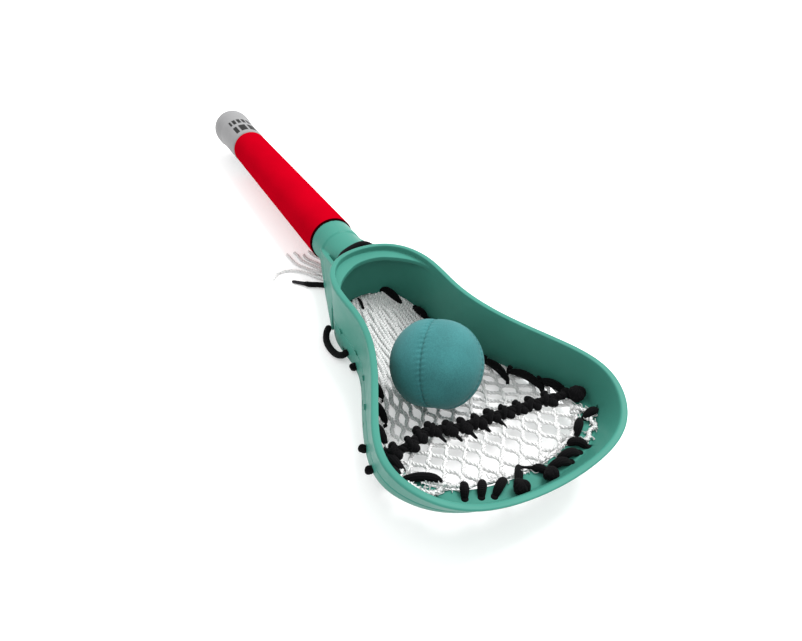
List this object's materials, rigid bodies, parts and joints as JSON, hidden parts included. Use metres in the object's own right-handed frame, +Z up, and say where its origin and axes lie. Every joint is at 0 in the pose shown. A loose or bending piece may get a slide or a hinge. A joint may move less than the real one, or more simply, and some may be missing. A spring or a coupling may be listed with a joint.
{
  "type": "lacrosse stick",
  "caption": "Short-handled toy lacrosse stick with a moulded head, laced net pocket, sleeved grip, rounded butt cap and a soft cloth ball resting in the pocket.",
  "frame": {"origin": "on the floor, under the middle of the stick's whole length and on its centre plane", "axes": "+X along the shaft from the butt to the scoop, +Y across the head, +Z up out of the pocket"},
  "size_m": [0.5126, 0.1354, 0.0556],
  "materials": {
    "head_plastic": "satin moulded polypropylene",
    "grip_foam": "smooth knit over foam",
    "cap_plastic": "soft matte",
    "core_tube": "extruded tube",
    "screw_steel": "zinc plated",
    "black_lace": "woven polyester lace",
    "lace_tip": "shrunk plastic tip",
    "net_cord": "knitted polyester cord",
    "ball_cloth": "stretched knit",
    "ball_stuffing": "soft crumb filling"
  },
  "bodies": {
    "stick": {"shaft_tube": "core_tube", "grip_sleeve": "grip_foam", "butt_cap": "cap_plastic", "head_frame": "head_plastic", "head_screw": "screw_steel", "throat_lace": "black_lace", "throat_tie": "black_lace", "pocket_net": "net_cord", "shooting_string": "black_lace", "shooting_knot": "black_lace", "sidewall_string_left": "black_lace", "sidewall_string_right": "black_lace", "scoop_string": "black_lace", "scoop_knots": "black_lace", "outer_knots": "black_lace", "side_loop": "black_lace", "throat_tail": "black_lace", "tail_tip": "lace_tip", "net_end_1": "net_cord", "net_end_2": "net_cord", "net_end_3": "net_cord", "net_end_4": "net_cord", "net_end_5": "net_cord"},
    "ball": {"ball_filling": "ball_stuffing", "ball_panel_1": "ball_cloth", "ball_panel_2": "ball_cloth", "ball_panel_3": "ball_cloth", "ball_panel_4": "ball_cloth"}
  },
  "joints": [
    {"name": "ball_lift", "type": "slide", "parent": "stick", "child": "ball", "axis": [0, 0, 1], "range_m": [0, 0.06]}
  ]
}
